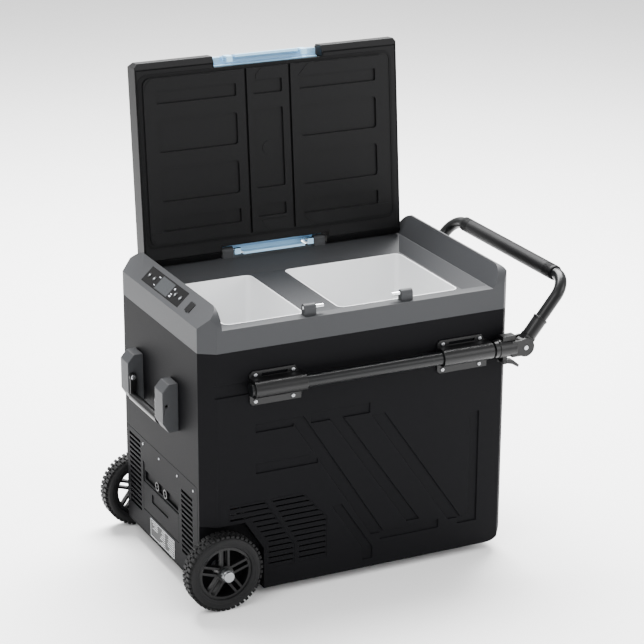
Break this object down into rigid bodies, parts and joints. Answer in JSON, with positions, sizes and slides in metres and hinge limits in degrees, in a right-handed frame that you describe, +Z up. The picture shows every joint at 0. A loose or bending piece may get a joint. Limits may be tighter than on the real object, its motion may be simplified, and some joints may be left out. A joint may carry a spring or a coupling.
{
  "type": "compressor cooler fridge",
  "caption": "Wheeled portable compressor fridge with two cold bays, a lid on releasable hinge pins and a sliding, tilting pull handle.",
  "frame": {"origin": "on the floor, under the middle of the whole object as stored with its lid open", "axes": "+X along the length towards the pull handle, +Y from the front face to the rear, +Z up"},
  "size_m": [0.867, 0.526, 1.0096],
  "materials": {
    "black_shell": "moulded, fine grain",
    "grey_plastic": "moulded, fine grain",
    "black_plastic": "moulded nylon",
    "liner_white": "vacuum formed, satin",
    "foam": "rigid foam with a dark skin",
    "copper": "drawn tube",
    "zinc_steel": "zinc plated",
    "black_paint": "powder coat",
    "circuit": "solder resist",
    "window_gloss": "polished acrylic",
    "button_grey": "moulded",
    "label": "printed film",
    "soft_black": "soft rubber",
    "tyre_rubber": "moulded rubber",
    "silver_cap": "satin chrome",
    "lid_black": "moulded, fine grain",
    "latch_blue": "moulded nylon, satin",
    "pin_chrome": "polished"
  },
  "bodies": {
    "cabinet": {"outer_shell": "black_shell", "end_cap": "grey_plastic", "top_frame": "grey_plastic", "left_liner": "liner_white", "right_liner": "liner_white", "insulation": "foam", "evaporator": "copper", "compressor_tray": "zinc_steel", "compressor": "black_paint", "condenser": "copper", "fan_shroud": "black_plastic", "control_board": "circuit", "battery_tray": "black_plastic", "battery_pack": "black_plastic", "left_cover": "black_shell", "socket_panel": "black_shell", "power_sockets": "black_plastic", "rating_plate": "label", "screws": "zinc_steel", "side_grilles": "black_shell", "display_window": "window_gloss", "display_board": "circuit", "usb_socket": "black_plastic", "front_rail_brackets": "black_plastic", "rear_rail_brackets": "black_plastic", "carry_brackets": "grey_plastic", "feet": "soft_black", "axle_stubs": "zinc_steel", "latch_pins": "pin_chrome"},
    "lid": {"lid_shell": "lid_black", "lid_liner": "lid_black", "lid_foam": "foam", "lid_gasket": "soft_black", "latch_bases": "latch_blue", "rear_latch": "latch_blue"},
    "latch": {"front_latch": "latch_blue"},
    "slide": {"front_slide_tube": "black_paint", "rear_slide_tube": "black_paint", "front_elbow": "black_plastic", "rear_elbow": "black_plastic", "elbow_pins": "zinc_steel"},
    "handle": {"arm_joints": "black_plastic", "handle_tube": "black_paint", "grip_sleeve": "soft_black"},
    "front_lever": {"front_release_lever": "black_plastic"},
    "rear_lever": {"rear_release_lever": "black_plastic"},
    "carry": {"carry_bar": "black_plastic"},
    "front_wheel": {"front_tyre": "tyre_rubber", "front_rim": "black_plastic", "front_hub_cap": "silver_cap"},
    "rear_wheel": {"rear_tyre": "tyre_rubber", "rear_rim": "black_plastic", "rear_hub_cap": "silver_cap"},
    "power_key": {"power_button": "button_grey"},
    "mode_key": {"mode_button": "button_grey"},
    "up_key": {"up_button": "button_grey"},
    "down_key": {"down_button": "button_grey"},
    "usb_cover": {"usb_flap": "soft_black"},
    "battery_hatch": {"battery_door": "black_shell"},
    "fan": {"fan_rotor": "black_plastic"}
  },
  "joints": [
    {"name": "lid_hinge", "type": "hinge", "parent": "cabinet", "child": "lid", "pos_m": [-0.04504, 0.2005, 0.597], "axis": [1, 0, 0], "range_deg": [0, 95]},
    {"name": "front_latch_lift", "type": "hinge", "parent": "lid", "child": "latch", "pos_m": [-0.04504, 0.25247, 0.99599], "axis": [1, 0, 0], "range_deg": [-25, 0], "stiffness_Nm_per_rad": 0.3},
    {"name": "handle_slide", "type": "slide", "parent": "cabinet", "child": "slide", "axis": [1, 0, 0], "range_m": [0, 0.085]},
    {"name": "handle_tilt", "type": "hinge", "parent": "slide", "child": "handle", "pos_m": [0.31496, 0, 0.458], "axis": [0, 1, 0], "range_deg": [-39, 51]},
    {"name": "front_release", "type": "hinge", "parent": "slide", "child": "front_lever", "pos_m": [0.26896, -0.2374, 0.432], "axis": [0, -1, 0], "range_deg": [0, 9], "stiffness_Nm_per_rad": 0.2},
    {"name": "rear_release", "type": "hinge", "parent": "slide", "child": "rear_lever", "pos_m": [0.26896, 0.2374, 0.432], "axis": [0, -1, 0], "range_deg": [0, 9], "stiffness_Nm_per_rad": 0.2},
    {"name": "carry_swing", "type": "hinge", "parent": "cabinet", "child": "carry", "pos_m": [-0.41304, 0.0165, 0.395], "axis": [0, 1, 0], "range_deg": [0, 80]},
    {"name": "front_wheel_spin", "type": "hinge", "parent": "cabinet", "child": "front_wheel", "pos_m": [-0.35254, -0.229, 0.081], "axis": [0, 1, 0], "continuous": true},
    {"name": "rear_wheel_spin", "type": "hinge", "parent": "cabinet", "child": "rear_wheel", "pos_m": [-0.35254, 0.229, 0.081], "axis": [0, 1, 0], "continuous": true},
    {"name": "power_press", "type": "slide", "parent": "cabinet", "child": "power_key", "axis": [0.6762, 0, -0.7367], "range_m": [0, 0.0012], "stiffness_N_per_m": 150},
    {"name": "mode_press", "type": "slide", "parent": "cabinet", "child": "mode_key", "axis": [0.6762, 0, -0.7367], "range_m": [0, 0.0012], "stiffness_N_per_m": 150},
    {"name": "up_press", "type": "slide", "parent": "cabinet", "child": "up_key", "axis": [0.6762, 0, -0.7367], "range_m": [0, 0.0012], "stiffness_N_per_m": 150},
    {"name": "down_press", "type": "slide", "parent": "cabinet", "child": "down_key", "axis": [0.6762, 0, -0.7367], "range_m": [0, 0.0012], "stiffness_N_per_m": 150},
    {"name": "usb_flap_lift", "type": "hinge", "parent": "cabinet", "child": "usb_cover", "pos_m": [-0.36232, -0.1195, 0.60974], "axis": [0, 1, 0], "range_deg": [0, 100]},
    {"name": "battery_door_drop", "type": "hinge", "parent": "cabinet", "child": "battery_hatch", "pos_m": [-0.38629, 0.0075, 0.09105], "axis": [0, -1, 0], "range_deg": [0, 85]},
    {"name": "fan_spin", "type": "hinge", "parent": "cabinet", "child": "fan", "pos_m": [-0.17804, 0.093, 0.11], "axis": [0, 1, 0], "continuous": true}
  ]
}
